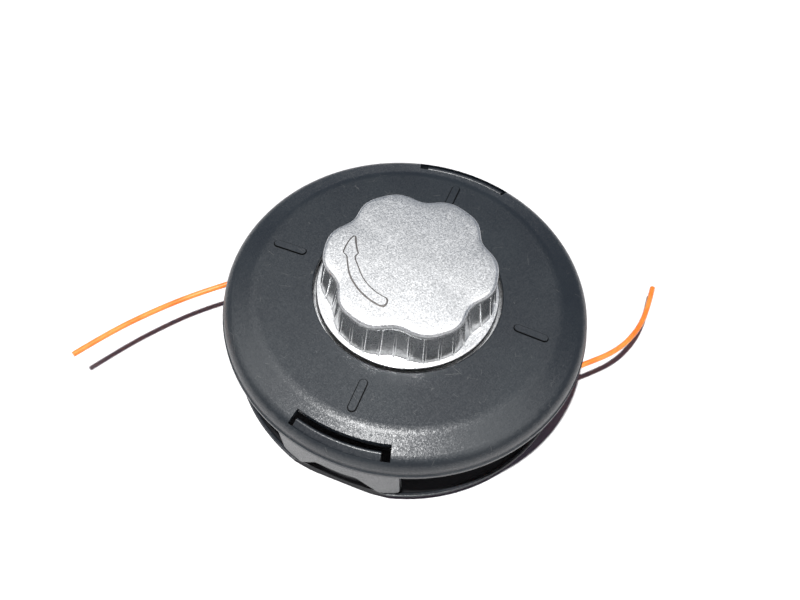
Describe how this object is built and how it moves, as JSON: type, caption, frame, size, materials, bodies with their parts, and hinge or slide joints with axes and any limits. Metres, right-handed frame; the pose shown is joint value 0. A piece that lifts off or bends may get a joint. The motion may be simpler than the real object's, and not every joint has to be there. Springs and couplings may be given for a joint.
{
  "type": "trimmer head",
  "caption": "Bump-feed line trimmer head with a domed black cover, a lobed cast metal knob, a sprung line spool and two orange line ends.",
  "frame": {"origin": "on the turning axis, in the plane of the base face that meets the gearbox", "axes": "+Z along the turning axis from the drive side to the knob, +X to an eyelet, +Y to a latch"},
  "size_m": [0.2247, 0.1568, 0.0713],
  "materials": {
    "nylon_black": "fine matt moulding texture, satin on the slopes",
    "nylon_spool": "plain moulded",
    "steel_plated": "zinc plated",
    "steel_bright": "bright, turned",
    "spring_wire": "drawn wire",
    "cast_silver": "as cast and blasted, fine sparkling grain",
    "line_orange": "smooth drawn nylon line"
  },
  "bodies": {
    "housing_body": {"housing": "nylon_black", "drive_insert": "steel_plated", "eyelet_left": "steel_bright", "eyelet_right": "steel_bright", "cover": "nylon_black", "spring_seat": "steel_bright", "bump_spring": "spring_wire", "line_left": "line_orange", "line_right": "line_orange"},
    "carrier_body": {"thrust_washer": "steel_bright"},
    "spool_body": {"spool": "nylon_spool", "wound_line_lower": "line_orange", "wound_line_upper": "line_orange", "bump_knob": "cast_silver", "knob_bolt": "steel_plated", "knob_bolt_washer": "steel_bright"}
  },
  "joints": [
    {"name": "bump_slide", "type": "slide", "parent": "housing_body", "child": "carrier_body", "axis": [0, 0, 1], "range_m": [-0.005, 0], "stiffness_N_per_m": 1500, "springref_m": 0.009, "deforming": ["bump_spring"]},
    {"name": "spool_turn", "type": "hinge", "parent": "carrier_body", "child": "spool_body", "pos_m": [0, 0, 0.0395], "axis": [0, 0, 1], "continuous": true}
  ]
}
